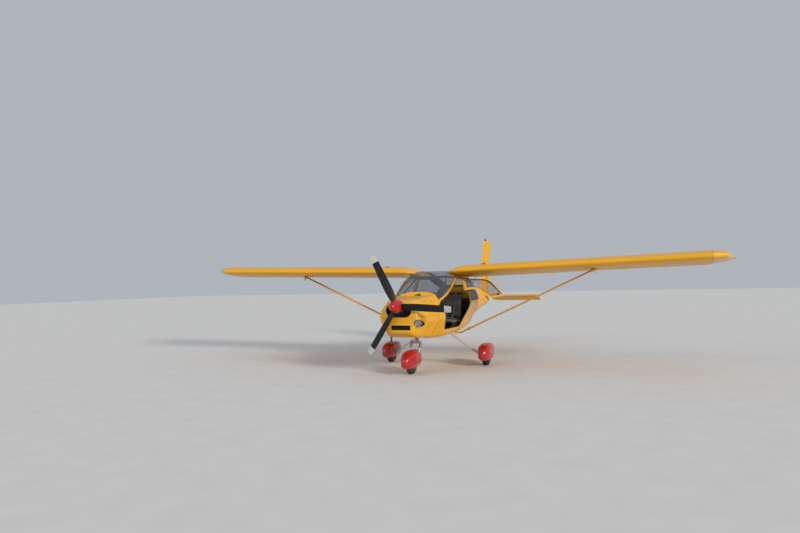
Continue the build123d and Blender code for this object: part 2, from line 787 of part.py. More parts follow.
def make_fittings():
    lining = cabin_solid(lining_inset)
    panel = lining & block(-reach, reach, panel_y, panel_y + 24, floor_z + 380, deck_z - 80)
    bracket = block(250, 256, firewall_y + cabin_wall, panel_y, floor_z + 395, deck_z - 120)
    nodes["instrument_panel"] = panel + both_sides(bracket)
    floor = lining & block(-reach, reach, firewall_y + 60, -560, floor_z, floor_z + floor_thickness)
    bulkhead = lining & block(-reach, reach, -560 - floor_thickness, -560, floor_z, waist_z + 55)
    beam = cabin_solid(cabin_wall) & block(200, 206, firewall_y + 60, -560, 0, floor_z)
    nodes["cabin_floor"] = floor + bulkhead + both_sides(beam)
    post = rod((0, -1450, floor_z + floor_thickness / 2), (0, -1500, 990), 14)
    grips = rod((-130, -1500, 990), (130, -1500, 990), 12)
    for side in (-1, 1):
        grips = grips + rod((side * 130, -1500, 985), (side * 130, -1480, 1090), 15)
    nodes["control_stick"] = (post + grips) - floor
    tube = rod((450, -1930, 1150), (280, -1190, roof_z - 80), frame_tube_radius)
    cross = rod((-300, -1190, roof_z - 80), (300, -1190, roof_z - 80), 20)
    nodes["cabin_frame"] = both_sides(tube) + cross
    pipe = rod((-360, -2270, 800), (-395, -2210, 520), 16) - rod((-360, -2270, 800), (-395, -2210, 519), 13)
    nodes["exhaust_pipe"] = pipe - body_loft(cowl_rows) - cabin_solid()
    beacon = Pos(0, 2690, fin_rows[-1][0]) * Cylinder(24, 46, align=(Align.CENTER, Align.CENTER, Align.MIN))
    tip_row = tip_rows[-1]
    tip_place = Pos(half_span, tip_row[3] + 0.3 * tip_row[1], tip_row[4] + 3) * Rot(0, 90, 0)
    tip_lamp = place_wing(tip_place * Cone(13, 7, 26, align=(Align.CENTER, Align.CENTER, Align.MIN)))
    nodes["lamps"] = beacon + both_sides(tip_lamp)


nodes = {}
for make in (
    make_cabin, make_doors, make_cowl, make_landing_light, make_engine, make_propeller, make_spinner,
    make_wings, make_flaperons, make_struts, make_tail, make_wheels, make_main_gear, make_nose_gear,
    make_seats, make_fittings,
):
    make()

for name, part in nodes.items():
    print(name, len(part.solids()), "solids", round(part.volume / 1e6, 3), "litres")
    export_step(part, "parts/" + name + ".step")
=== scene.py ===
import json
import math

import bmesh
import bpy
from mathutils import Matrix, Vector, noise
from mathutils.bvhtree import BVHTree


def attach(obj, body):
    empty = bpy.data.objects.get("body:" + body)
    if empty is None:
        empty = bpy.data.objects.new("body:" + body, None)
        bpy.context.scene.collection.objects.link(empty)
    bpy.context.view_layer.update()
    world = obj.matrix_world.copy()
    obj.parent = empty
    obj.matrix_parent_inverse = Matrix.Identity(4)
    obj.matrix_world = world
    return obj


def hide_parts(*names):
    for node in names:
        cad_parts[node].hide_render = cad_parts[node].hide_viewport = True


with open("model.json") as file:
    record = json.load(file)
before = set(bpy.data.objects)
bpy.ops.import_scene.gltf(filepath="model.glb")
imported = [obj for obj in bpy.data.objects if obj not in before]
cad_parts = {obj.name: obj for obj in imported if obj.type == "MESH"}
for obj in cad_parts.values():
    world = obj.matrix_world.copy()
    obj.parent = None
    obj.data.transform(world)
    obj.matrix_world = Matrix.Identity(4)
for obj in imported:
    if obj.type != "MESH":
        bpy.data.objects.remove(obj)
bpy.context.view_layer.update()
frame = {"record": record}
record = frame["record"]


# Materials. Textures run in object coordinates, which are the row frame in metres.


def new_material(name):
    material = bpy.data.materials.new(name)
    material.use_nodes = True
    tree = material.node_tree
    return material, tree, tree.nodes["Principled BSDF"]


def wire(tree, source, output, target, slot):
    tree.links.new(source.outputs[output], target.inputs[slot])


def set_inputs(node, values):
    for name, value in values.items():
        node.inputs[name].default_value = value


def from_object(tree, target, slot="Vector"):
    wire(tree, tree.nodes.new("ShaderNodeTexCoord"), "Object", target, slot)


def object_noise(tree, scale, detail=3.0, stretch=None):
    texture = tree.nodes.new("ShaderNodeTexNoise")
    set_inputs(texture, {"Scale": scale, "Detail": detail})
    if stretch:
        mapping = tree.nodes.new("ShaderNodeMapping")
        set_inputs(mapping, {"Scale": stretch})
        from_object(tree, mapping)
        wire(tree, mapping, "Vector", texture, "Vector")
    else:
        from_object(tree, texture)
    return texture


def ramp(tree, source, output, stops):
    node = tree.nodes.new("ShaderNodeValToRGB")
    wire(tree, source, output, node, "Fac")
    while len(node.color_ramp.elements) < len(stops):
        node.color_ramp.elements.new(0.5)
    for element, (place, colour) in zip(node.color_ramp.elements, stops):
        element.position = place
        if isinstance(colour, (int, float)):
            colour = (colour, colour, colour)
        element.color = (*colour, 1)
    return node


def product(tree, one, one_output, other, other_output):
    node = tree.nodes.new("ShaderNodeMath")
    node.operation = "MULTIPLY"
    wire(tree, one, one_output, node, 0)
    wire(tree, other, other_output, node, 1)
    return node


def mixed(tree, factor, factor_output, under, under_output, over):
    """A colour mix from a texture colour towards a plain colour or another texture."""
    node = tree.nodes.new("ShaderNodeMix")
    node.data_type = "RGBA"
    wire(tree, factor, factor_output, node, 0)
    wire(tree, under, under_output, node, 6)
    if isinstance(over, tuple):
        node.inputs[7].default_value = (*over, 1)
    else:
        wire(tree, over, "Color", node, 7)
    return node


def bump(tree, shader, source, output, strength, distance):
    node = tree.nodes.new("ShaderNodeBump")
    set_inputs(node, {"Strength": strength, "Distance": distance})
    wire(tree, source, output, node, "Height")
    wire(tree, node, "Normal", shader, "Normal")


def height_mask(tree, low, high, low_value, high_value):
    """A value that runs from low_value at height low to high_value at height high."""
    split = tree.nodes.new("ShaderNodeSeparateXYZ")
    from_object(tree, split)
    spread = tree.nodes.new("ShaderNodeMapRange")
    set_inputs(spread, {"From Min": low, "From Max": high, "To Min": low_value, "To Max": high_value})
    wire(tree, split, "Z", spread, "Value")
    return spread


def shade(colour, factor):
    return tuple(channel * factor for channel in colour)


dust_colour = (0.30, 0.235, 0.155)


def paint(name, colour, roughness=0.34, coat=0.12, gloss=0.3, dust=0.12, dust_top=0.75, weave=0):
    """Gloss paint with a slight hue drift, dust that gathers low down, rain streaks and orange peel."""
    material, tree, shader = new_material(name)
    drift = object_noise(tree, 1.6)
    base = ramp(tree, drift, "Fac", ((0.3, shade(colour, 0.93)), (0.7, colour)))
    low = height_mask(tree, 0.05, dust_top, dust, 0.0)
    speck = object_noise(tree, 24, 7)
    specks = ramp(tree, speck, "Fac", ((0.42, 0.1), (0.72, 1.0)))
    dirt = product(tree, low, "Result", specks, "Color")
    dusty = mixed(tree, dirt, "Value", base, "Color", dust_colour)
    streak = object_noise(tree, 5, 5, (6, 6, 0.5))
    streaks = ramp(tree, streak, "Fac", ((0.56, 0.0), (0.85, 0.07)))
    aged = mixed(tree, streaks, "Color", dusty, 2, shade(dust_colour, 0.55))
    wire(tree, aged, 2, shader, "Base Color")
    rough = ramp(tree, speck, "Fac", ((0.3, roughness * 0.75), (0.8, roughness * 1.6)))
    wire(tree, rough, "Color", shader, "Roughness")
    set_inputs(shader, {"Coat Weight": coat, "Coat Roughness": 0.12, "Specular IOR Level": gloss})
    if weave:
        bump(tree, shader, object_noise(tree, weave, 2, (1, 1, 2)), "Fac", 0.12, 0.0008)
    else:
        bump(tree, shader, object_noise(tree, 150, 2), "Fac", 0.035, 0.002)
    return material


def plain(name, colour, roughness, metallic=0.0, grain=60, depth=0.12, spread=0.25, dust=0.12):
    material, tree, shader = new_material(name)
    texture = object_noise(tree, grain, 5)
    base = ramp(tree, texture, "Fac", ((0.3, shade(colour, 1 - spread)), (0.7, colour)))
    settled = ramp(tree, object_noise(tree, 7, 6), "Fac", ((0.45, 0.0), (0.8, dust)))
    dusty = mixed(tree, settled, "Color", base, "Color", dust_colour)
    wire(tree, dusty, 2, shader, "Base Color")
    rough = ramp(tree, texture, "Fac", ((0.3, roughness * 0.85), (0.75, min(1.0, roughness * 1.2))))
    wire(tree, rough, "Color", shader, "Roughness")
    shader.inputs["Metallic"].default_value = metallic
    bump(tree, shader, texture, "Fac", depth, 0.002)
    return material


def glazing(name, colour, alpha):
    """Thin clear sheet, mostly see-through, with gloss, faint scuffs and dust in patches."""
    material, tree, shader = new_material(name)
    scuff = object_noise(tree, 8, 6, (1, 1, 3))
    wire(tree, ramp(tree, scuff, "Fac", ((0.4, 0.03), (0.8, 0.16))), "Color", shader, "Roughness")
    tint = ramp(tree, scuff, "Fac", ((0.3, shade(colour, 0.85)), (0.7, colour)))
    wire(tree, tint, "Color", shader, "Base Color")
    clear = ramp(tree, scuff, "Fac", ((0.45, alpha), (0.85, alpha * 1.5)))
    wire(tree, clear, "Color", shader, "Alpha")
    set_inputs(shader, {"IOR": 1.49, "Specular IOR Level": 0.8})
    bump(tree, shader, object_noise(tree, 3, 2), "Fac", 0.05, 0.01)
    return material


def blade_paint(name, colour, tip_colour, tip_start):
    """Satin black blade paint with pale tips and a leading edge chipped by grit."""
    material, tree, shader = new_material(name)
    from_hub = tree.nodes.new("ShaderNodeVectorMath")
    from_hub.operation = "DISTANCE"
    flat = tree.nodes.new("ShaderNodeVectorMath")
    flat.operation = "MULTIPLY"
    flat.inputs[1].default_value = (1, 0, 1)
    from_object(tree, flat, 0)
    wire(tree, flat, "Vector", from_hub, 0)
    from_hub.inputs[1].default_value = (0, 0, propeller_z)
    tip = ramp(tree, from_hub, "Value", ((tip_start - 0.002, 0.0), (tip_start + 0.002, 1.0)))
    grain = object_noise(tree, 80, 5)
    base = ramp(tree, grain, "Fac", ((0.3, shade(colour, 0.7)), (0.7, colour)))
    tips = ramp(tree, grain, "Fac", ((0.3, shade(tip_colour, 0.8)), (0.7, tip_colour)))
    banded = mixed(tree, tip, "Color", base, "Color", tips)
    chips = ramp(tree, object_noise(tree, 210, 3), "Fac", ((0.68, 0.0), (0.74, 0.35)))
    worn = mixed(tree, chips, "Color", banded, 2, (0.16, 0.15, 0.13))
    wire(tree, worn, 2, shader, "Base Color")
    wire(tree, ramp(tree, grain, "Fac", ((0.3, 0.38), (0.75, 0.55))), "Color", shader, "Roughness")
    shader.inputs["Specular IOR Level"].default_value = 0.25
    bump(tree, shader, grain, "Fac", 0.05, 0.001)
    return material


def woven(name, colour, pitch=700):
    material, tree, shader = new_material(name)
    threads = []
    for direction in ("X", "Z"):
        wave = tree.nodes.new("ShaderNodeTexWave")
        wave.bands_direction = direction
        set_inputs(wave, {"Scale": pitch / 10, "Distortion": 1.5})
        from_object(tree, wave)
        threads.append(wave)
    weave = product(tree, threads[0], "Fac", threads[1], "Fac")
    base = ramp(tree, weave, "Value", ((0.1, shade(colour, 0.55)), (0.7, colour)))
    fade = ramp(tree, object_noise(tree, 9, 5), "Fac", ((0.4, 0.0), (0.75, 0.25)))
    faded = mixed(tree, fade, "Color", base, "Color", shade(dust_colour, 0.9))
    wire(tree, faded, 2, shader, "Base Color")
    set_inputs(shader, {"Roughness": 0.92, "Sheen Weight": 0.35})
    bump(tree, shader, weave, "Value", 0.4, 0.0012)
    return material


propeller_z = 1.157
yellow = (0.84, 0.41, 0.010)
red = (0.44, 0.005, 0.010)
look = {
    "yellow_skin": paint("yellow_skin", yellow, coat=0.3, gloss=0.4),
    "yellow_metal": paint("yellow_metal", yellow, roughness=0.4),
    "yellow_tube": paint("yellow_tube", shade(yellow, 0.85), roughness=0.3),
    "yellow_fabric": paint("yellow_fabric", yellow, roughness=0.46, coat=0.05, gloss=0.22, weave=420),
    "red_gloss": paint("red_gloss", red, roughness=0.2, coat=0.5, gloss=0.4, dust=0.1, dust_top=0.25),
    "clear_glazing": glazing("clear_glazing", (0.12, 0.15, 0.18), 0.27),
    "lamp_glass": glazing("lamp_glass", (0.8, 0.85, 0.9), 0.14),
    "black_blade": blade_paint("black_blade", (0.014, 0.014, 0.016), (0.55, 0.56, 0.57), 0.8),
    "tyre_rubber": plain("tyre_rubber", (0.020, 0.0195, 0.019), 0.8, grain=140, depth=0.3, dust=0.5),
    "rim_alloy": plain("rim_alloy", (0.6, 0.6, 0.6), 0.34, metallic=1.0, grain=220),
    "gear_steel": plain("gear_steel", (0.56, 0.55, 0.51), 0.3, grain=30, depth=0.06, spread=0.15, dust=0.35),
    "engine_dark": plain("engine_dark", (0.03, 0.03, 0.032), 0.6, metallic=0.4),
    "frame_dark": plain("frame_dark", (0.028, 0.028, 0.03), 0.4),
    "trim_black": plain("trim_black", (0.017, 0.017, 0.018), 0.55, grain=220, depth=0.2),
    "seat_cloth": woven("seat_cloth", (0.06, 0.062, 0.07)),
    "exhaust_steel": plain("exhaust_steel", (0.25, 0.17, 0.12), 0.45, metallic=0.9, grain=40, spread=0.5),
}
extra = {
    # Near-black for the inward faces of the cabin shell: painted shade for the shaded inside of the cabin.
    "cabin_painted_shade": plain("cabin_painted_shade", (0.045, 0.043, 0.04), 0.85, grain=300, depth=0.25),
    "seal_rubber": plain("seal_rubber", (0.015, 0.015, 0.015), 0.7, grain=200, depth=0.1),
    "bolt_steel": plain("bolt_steel", (0.5, 0.5, 0.48), 0.35, metallic=1.0, grain=90),
    "belt_webbing": woven("belt_webbing", (0.10, 0.10, 0.11), 1400),
    "dial_face": plain("dial_face", (0.008, 0.008, 0.009), 0.35, grain=60, depth=0.02),
    "dial_mark": plain("dial_mark", (0.75, 0.74, 0.68), 0.5, grain=60, depth=0.02),
    "seam_dark": plain("seam_dark", (0.05, 0.022, 0.006), 0.7, grain=90),
    "red_lens": glazing("red_lens", (0.55, 0.01, 0.008), 0.85),
    "green_lens": glazing("green_lens", (0.01, 0.3, 0.06), 0.85),
}
steel = ("rim_alloy", extra["bolt_steel"])
sealing = ("trim_black", extra["seal_rubber"])
seam = ("trim_black", extra["seam_dark"])
slot_of = {part["node"]: part["material_slot"] for part in record["subparts"]}
cad = {name: bpy.data.objects[name] for name in slot_of}
for name, part in cad.items():
    part.data.materials.clear()
    part.data.materials.append(look[slot_of[name]])


# Two-tone CAD nodes: faces that look inwards take a second material; in the cabin shell it is painted shade.


def colour_inward_faces(node, material, is_inside):
    mesh = cad[node].data
    mesh.materials.append(material)
    for face in mesh.polygons:
        if is_inside(face):
            face.material_index = 1


def faces_axis(centre_x, centre_z, least=0.0, steepest=0.9):
    """True for a face whose normal points back towards a line running fore and aft."""
    def test(face):
        outwards = Vector((face.center.x - centre_x, 0, face.center.z - centre_z))
        return face.normal.dot(outwards) < -least and abs(face.normal.y) <= steepest
    return test


lamp_place = Vector((0.318, -2.745, 0.880))
# The cabin shell's inward faces are painted near-black: painted shade for the shade inside the cabin.
colour_inward_faces("cabin_shell", extra["cabin_painted_shade"], faces_axis(0, 1.15))
colour_inward_faces("cowl_upper", look["engine_dark"], faces_axis(0, 1.0))
colour_inward_faces("cowl_lower", look["engine_dark"], faces_axis(0, 1.0))
cad["landing_light"].data.materials[0] = look["trim_black"]
colour_inward_faces("landing_light", extra["bolt_steel"], faces_axis(lamp_place.x, lamp_place.z, 0.001, 1.1))
colour_inward_faces("lamps", extra["red_lens"], lambda face: face.center.x > 1 or abs(face.center.x) < 0.1)
cad["lamps"].data.materials.append(extra["green_lens"])
for face in cad["lamps"].data.polygons:
    if face.center.x < -1:
        face.material_index = 2


# Mesh building


def linked(name, data):
    thing = bpy.data.objects.new(name, data)
    bpy.context.scene.collection.objects.link(thing)
    return thing


def add_piece(name, forms, slot, material=None, body="airframe"):
    """One piece made of several forms, each a pair of verts and faces."""
    verts, faces = [], []
    for form_verts, form_faces in forms:
        base = len(verts)
        verts += form_verts
        faces += [tuple(base + index for index in face) for face in form_faces]
    mesh = bpy.data.meshes.new(name)
    mesh.from_pydata([tuple(vert) for vert in verts], [], faces)
    mesh.validate()
    shape = bmesh.new()
    shape.from_mesh(mesh)
    bmesh.ops.recalc_face_normals(shape, faces=shape.faces)
    shape.to_mesh(mesh)
    shape.free()
    mesh.materials.append(material or look[slot])
    mesh.shade_smooth()
    piece = linked(name, mesh)
    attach(piece, body)
    return piece


def frame_at(points, index, closed):
    last = len(points) - 1
    ahead = points[(index + 1) % len(points)] if closed else points[min(index + 1, last)]
    behind = points[index - 1] if closed or index else points[0]
    return (ahead - behind).normalized()


def sweep(points, outline, normals=None, closed=False):
    """Verts and faces of an outline of (across, up) pairs carried along points.

    up follows normals where they are given, and otherwise a steady direction.
    """
    verts, faces = [], []
    up = None
    for index, point in enumerate(points):
        along = frame_at(points, index, closed)
        if normals:
            up = normals[index]
        elif up is None:
            up = Vector((0, 0, 1)) if abs(along.z) < 0.8 else Vector((1, 0, 0))
        up = (up - along * up.dot(along)).normalized()
        across = along.cross(up)
        verts += [point + across * u + up * v for u, v in outline]
    sides = len(outline)
    rings = len(points)
    for ring in range(rings if closed else rings - 1):
        start, following = ring * sides, (ring + 1) % rings * sides
        for side in range(sides):
            turn = (side + 1) % sides
            faces.append((start + side, start + turn, following + turn, following + side))
    if not closed:
        faces.append(tuple(range(sides)))
        faces.append(tuple(range((rings - 1) * sides, rings * sides)))
    return verts, faces


def ring_outline(radius, sides=8, flatten=1.0):
    turns = [2 * math.pi * step / sides for step in range(sides)]
    return [(radius * math.cos(turn), radius * flatten * math.sin(turn)) for turn in turns]


def tape_outline(width, height):
    shares = ((-1, 0), (1, 0), (0.94, 0.7), (0.5, 1), (-0.5, 1), (-0.94, 0.7))
    return [(width / 2 * across, height * up) for across, up in shares]


def basis(axis):
    axis = Vector(axis).normalized()
    side = axis.orthogonal().normalized()
    return axis, side, axis.cross(side)


def lathe_form(profile, centre, axis, steps=48, closed=False):
    """A profile of (radius, distance along the axis) turned round the axis."""
    axis, side, other = basis(axis)
    centre = Vector(centre)
    verts, faces = [], []
    for step in range(steps):
        turn = 2 * math.pi * step / steps
        spoke = side * math.cos(turn) + other * math.sin(turn)
        verts += [centre + spoke * radius + axis * height for radius, height in profile]
    count = len(profile)
    for step in range(steps):
        start, following = step * count, (step + 1) % steps * count
        for index in range(count if closed else count - 1):
            nearby = (index + 1) % count
            faces.append((start + index, start + nearby, following + nearby, following + index))
    if not closed:
        faces.append(tuple(step * count for step in range(steps)))
        faces.append(tuple(step * count + count - 1 for step in range(steps)))
    return verts, faces


def dome_form(place, normal, radius, height, steps=8):
    profile = ((radius, -height * 0.3), (radius * 0.96, height * 0.45), (radius * 0.6, height * 0.9))
    return lathe_form(profile, place, normal, steps)


def screw_form(place, normal, radius):
    """A pan head with a recessed middle."""
    shares = ((1, -0.1), (1, 0.35), (0.75, 0.6), (0.3, 0.62), (0.22, 0.25))
    return lathe_form([(radius * out, radius * up) for out, up in shares], place, normal, 10)


def box_form(centre, size):
    """A box with chamfered edges along its first axis."""
    x, y, z = (side / 2 for side in size)
    cut = 0.15 * min(y, z)
    corner = ((y - cut, z), (y, z - cut))
    ring = [(v, -w) for v, w in corner] + [(v, w) for v, w in reversed(corner)]
    ring += [(-v, w) for v, w in corner] + [(-v, -w) for v, w in reversed(corner)]
    inner = [(v * 0.97, w * 0.97) for v, w in ring]
    verts = []
    for level, loop in ((-x, inner), (-x + cut, ring), (x - cut, ring), (x, inner)):
        verts += [Vector(centre) + Vector((level, v, w)) for v, w in loop]
    faces = [tuple(range(8)), tuple(range(24, 32))]
    for level in range(3):
        for side in range(8):
            near = (side + 1) % 8
            faces.append((level * 8 + side, level * 8 + near, level * 8 + 8 + near, level * 8 + 8 + side))
    return verts, faces


# Points on the CAD surfaces

trees = {}


def tree_of(nodes):
    if nodes not in trees:
        verts, faces = [], []
        for node in nodes:
            mesh = cad[node].data
            base = len(verts)
            verts += [vert.co.copy() for vert in mesh.vertices]
            faces += [[base + index for index in face.vertices] for face in mesh.polygons]
        trees[nodes] = BVHTree.FromPolygons(verts, faces)
    return trees[nodes]


def strike(start, direction, *nodes):
    """The first point and outward normal that a ray meets on some nodes, or None."""
    direction = Vector(direction)
    place, normal, _, _ = tree_of(nodes).ray_cast(Vector(start), direction)
    if place is None:
        return None
    if normal.dot(direction) > 0:
        normal = -normal
    return place, normal


def met(found):
    pairs = [pair for pair in found if pair]
    return [place for place, _ in pairs], [normal for _, normal in pairs]


def trace(starts, direction, *nodes):
    """Points and normals where a row of rays meets some nodes, without the misses."""
    return met([strike(start, direction, *nodes) for start in starts])


def between(start, end, count):
    start, end = Vector(start), Vector(end)
    return [start.lerp(end, step / (count - 1)) for step in range(count)]


def along(corners, spacing):
    """Evenly spaced points on a closed outline of 2-D corners."""
    points = []
    loop = list(corners) + [corners[0]]
    for start, end in zip(loop, loop[1:]):
        start, end = Vector(start), Vector(end)
        count = max(1, round((end - start).length / spacing))
        points += [start.lerp(end, step / count) for step in range(count)]
    return points


def grown(corners, distance):
    """The corners of a clockwise or anticlockwise outline moved outwards."""
    middle = sum((Vector(corner) for corner in corners), Vector((0, 0))) / len(corners)
    result = []
    for index, corner in enumerate(corners):
        corner = Vector(corner)
        before = (corner - Vector(corners[index - 1])).normalized()
        after = (Vector(corners[(index + 1) % len(corners)]) - corner).normalized()
        first = Vector((before.y, -before.x))
        second = Vector((after.y, -after.x))
        if first.dot(corner - middle) < 0:
            first, second = -first, -second
        push = first + second
        result.append(corner + push * (distance / max(push.dot(first), 0.3)))
    return result


def mirror_form(form):
    verts, faces = form
    return [Vector((-vert.x, vert.y, vert.z)) for vert in verts], faces


beside, above = 1.2, 2.0
door_hinge = Vector((0.490, 0, 1.594))
door_open = math.radians(70)


def open_port(form):
    """A form on the closed starboard door, carried over to the open port door."""
    verts, faces = mirror_form(form)
    turn = Matrix.Rotation(-door_open, 3, "Y")
    return [door_hinge + turn @ (vert - door_hinge) for vert in verts], faces


def on_both_doors(name, forms, slot, material=None):
    add_piece(name + "_starboard", forms, slot, material, "door_starboard")
    add_piece(name + "_port", [open_port(form) for form in forms], slot, material, "door_port")


def on_both_sides(name, forms, slot, material=None):
    both = [side for form in forms for side in (form, mirror_form(form))]
    add_piece(name, both, slot, material)


def band(found, width, height, closed=False):
    """A low band laid along the points and normals that a row of rays found."""
    points, normals = found
    return sweep(points, tape_outline(width, height), normals, closed)


def on_each(found, make, *sizes):
    """One small form at every point that a row of rays found."""
    return [make(place, normal, *sizes) for place, normal in zip(*found)]


def from_side(sign, start, end, count, *nodes):
    """Where rays from beside the body, aimed at its centre line along a row of (y, z), meet nodes."""
    starts = between((sign * beside, *start), (sign * beside, *end), count)
    return trace(starts, (-sign, 0, 0), *nodes)


def side_bead(outline, growth, width, height, sign, node):
    """A rubber bead laid on the outer surface along a side-view outline of (y, z)."""
    starts = [(sign * beside, y, z) for y, z in along(grown(outline, growth), 0.03)]
    return band(trace(starts, (-sign, 0, 0), node), width, height, closed=True)


# Cabin openings, in side view (y, z)

door_outline = (
    (-2.085, 1.140), (-1.150, 1.586), (-0.720, 1.586), (-0.720, 1.150), (-1.050, 0.720), (-1.800, 0.720),
)
side_window = ((-0.640, 1.180), (-0.640, 1.575), (-0.170, 1.575), (0.300, 1.400), (0.190, 1.180))
door_window = grown(door_outline, -0.052)
door_rail = (-1.40, 0.742)
strap_ends = (-1.69, -1.49)


def add_seals():
    """Black seals round the doorways, the side windows and the door glass."""
    seals = []
    for sign in (1, -1):
        seals.append(side_bead(door_outline, 0.006, 0.014, 0.004, sign, "cabin_shell"))
        seals.append(side_bead(side_window, 0.007, 0.014, 0.003, sign, "cabin_shell"))
    add_piece("cabin_seals", seals, *sealing)
    pane = side_bead(door_window, 0.006, 0.012, 0.003, -1, "door_starboard")
    on_both_doors("door_glass_seal", [pane], *sealing)


def add_door_fittings():
    """A lever handle and screws outside and a pull strap inside, on the lower rail of each door."""
    rail_y, rail_z = door_rail
    outside, outwards = strike((-beside, rail_y, rail_z), (1, 0, 0), "door_starboard")
    ends = [strike((0, y, rail_z), (-1, 0, 0), "door_starboard") for y in strap_ends]
    handle, strap, screws = [], [], []
    post = ((0.011, 0), (0.011, 0.012), (0.008, 0.014))
    boss = ((0.012, 0), (0.012, 0.010), (0.006, 0.013))
    for shift in (-0.04, 0.04):
        handle.append(lathe_form(post, outside + Vector((0, shift, 0)), outwards, 16))
    grip = outside + outwards * 0.016
    grip_half = Vector((0, 0.055, 0))
    handle.append(sweep(between(grip - grip_half, grip + grip_half, 7), ring_outline(0.008, 10, 0.6)))
    for place, normal in ends:
        strap.append(lathe_form(boss, place, normal, 12))
    (front, inwards), (rear, _) = ends
    loop = []
    for step in range(13):
        sag = 0.008 + 0.03 * math.sin(math.pi * step / 12)
        loop.append(front.lerp(rear, step / 12) + inwards * sag)
    strap.append(sweep(loop, tape_outline(0.028, 0.003), [inwards] * 13))
    for y in (rail_y - 0.20, rail_y + 0.20):
        screws.append(screw_form(*strike((-beside, y, rail_z), (1, 0, 0), "door_starboard"), 0.006))
    on_both_doors("door_handle", handle, "trim_black")
    on_both_doors("door_grab", strap, "trim_black", extra["belt_webbing"])
    on_both_doors("door_screws", screws, *steel)


# Wheels


tyre_radius = 0.170
tyre_width = 0.110
rim_radius = 0.078
rim_face = 0.31 * tyre_width
bolt_circle = 0.0735
spat_reach = 0.4
hub_cap = ((0.022, 0), (0.022, 0.004), (0.0175, 0.006))
rim_bolt = ((0.0045, -0.001), (0.0045, 0.004), (0.003, 0.005))
wheel_places = {
    "nose": (0, -2.290, "nose_wheel"),
    "port": (0.940, -0.985, "wheel_port"),
    "starboard": (-0.940, -0.985, "wheel_starboard"),
}


def tyre_profile():
    """Half bead, side wall, shoulder and four tread grooves, as (radius, place across)."""
    half = tyre_width / 2
    crown = tyre_radius - 0.0005
    wall = [(rim_radius, -0.58 * half), (rim_radius + 0.004, -0.72 * half)]
    wall.append((rim_radius + 0.022, -0.97 * half))
    for step in range(9):
        turn = math.pi / 2 * step / 8
        rise = (tyre_radius - rim_radius - 0.036) * math.sin(turn)
        wall.append((rim_radius + 0.03 + rise, -half * (0.62 + 0.37 * math.cos(turn))))
    wall.append((tyre_radius - 0.0015, -0.56 * half))
    floor, mouth_half, floor_half = crown - 0.006, 0.0035, 0.0022
    tread = []
    for groove in (-0.42, -0.14, 0.14, 0.42):
        centre = groove * half
        tread += [(crown, centre - mouth_half), (floor, centre - floor_half)]
        tread += [(floor, centre + floor_half), (crown, centre + mouth_half)]
    return wall + tread + [(radius, -across) for radius, across in reversed(wall)]


def add_wheels():
    """Treaded tyres in place of the plain ones, with hub caps, rim bolts and a valve each."""
    for name, (x, y, body) in wheel_places.items():
        centre = Vector((x, y, tyre_radius))
        rubber = lathe_form(tyre_profile(), centre, (1, 0, 0), 96, closed=True)
        tyre = add_piece("tyre_tread_" + name, [rubber], "tyre_rubber", body=body)
        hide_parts("tyre_" + name)
        fittings = []
        for sign in (-1, 1):
            out = Vector((sign, 0, 0))
            face = centre + out * rim_face
            fittings.append(lathe_form(hub_cap, face, out, 24))
            for step in range(6):
                turn = math.pi / 3 * step
                place = face + Vector((0, math.cos(turn), math.sin(turn))) * bolt_circle
                fittings.append(lathe_form(rim_bolt, place, out, 6))
        valve = between(centre + Vector((0.033, 0, 0.062)), centre + Vector((0.047, 0, 0.056)), 4)
        fittings.append(sweep(valve, ring_outline(0.0035)))
        add_piece("wheel_bolts_" + name, fittings, *steel, body)


def spat_screw_forms(wheel, node):
    """Five screws in a row on each cheek of a spat."""
    x, y, _ = wheel_places[wheel]
    forms = []
    for sign in (-1, 1):
        for step in range(5):
            start = (x + sign * spat_reach, y - 0.24 + 0.12 * step, 0.305)
            forms.append(screw_form(*strike(start, (-sign, 0, 0), node), 0.0045))
    return forms


def add_spat_screws():
    """The rows of spat screws, and a cap over each main axle."""
    forms = spat_screw_forms("port", "spat_port")
    x, y, _ = wheel_places["port"]
    axle = strike((x + spat_reach, y, tyre_radius), (-1, 0, 0), "spat_port")
    forms.append(lathe_form(((0.03, -0.004), (0.03, 0.003), (0.024, 0.006), (0.008, 0.007)), *axle, 24))
    on_both_sides("spat_screws", forms, *steel)
    add_piece("nose_spat_screws", spat_screw_forms("nose", "nose_spat"), *steel, "nose_leg")


fork_top = Vector((0, -2.040, 0.505))
fork_tube_x = 0.084


def add_gear_fittings():
    """Coil springs between collars on the two tubes of the nose fork."""
    foot = Vector((0, wheel_places["nose"][1], tyre_radius))
    axis, side, other = basis(foot - fork_top)
    turns, steps = 7, 14
    start, length, radius, wire_radius = 0.022, 0.085, 0.0205, 0.0032
    springs, collars = [], []
    for sign in (-1, 1):
        head = fork_top + Vector((sign * fork_tube_x, 0, 0))
        coil = []
        for step in range(turns * steps + 1):
            turn = 2 * math.pi * step / steps
            spoke = side * math.cos(turn) + other * math.sin(turn)
            coil.append(head + axis * (start + length * step / (turns * steps)) + spoke * radius)
        springs.append(sweep(coil, ring_outline(wire_radius, 6)))
        for distance in (0.016, 0.113):
            profile = ((0.015, 0), (0.027, 0), (0.027, 0.006), (0.0145, 0.008))
            collars.append(lathe_form(profile, head + axis * distance, axis, 24))
    add_piece("fork_springs", springs, "gear_steel", extra["bolt_steel"], "nose_leg")
    add_piece("fork_collars", collars, "gear_steel", body="nose_leg")


# Nose


def ring_on_body(y, centre_z, count, *nodes):
    """Points round the body at a station, found from outside."""
    centre = Vector((0, y, centre_z))
    found = []
    for step in range(count):
        turn = 2 * math.pi * step / count
        spoke = Vector((math.cos(turn), 0, math.sin(turn)))
        found.append(strike(centre + spoke * 1.5, -spoke, *nodes))
    return met(found)


cowl = ("cowl_lower", "cowl_upper")
cowl_front, cowl_rear = -2.735, -2.203
cowl_split_z = 0.985
cowl_axis_z = 0.95


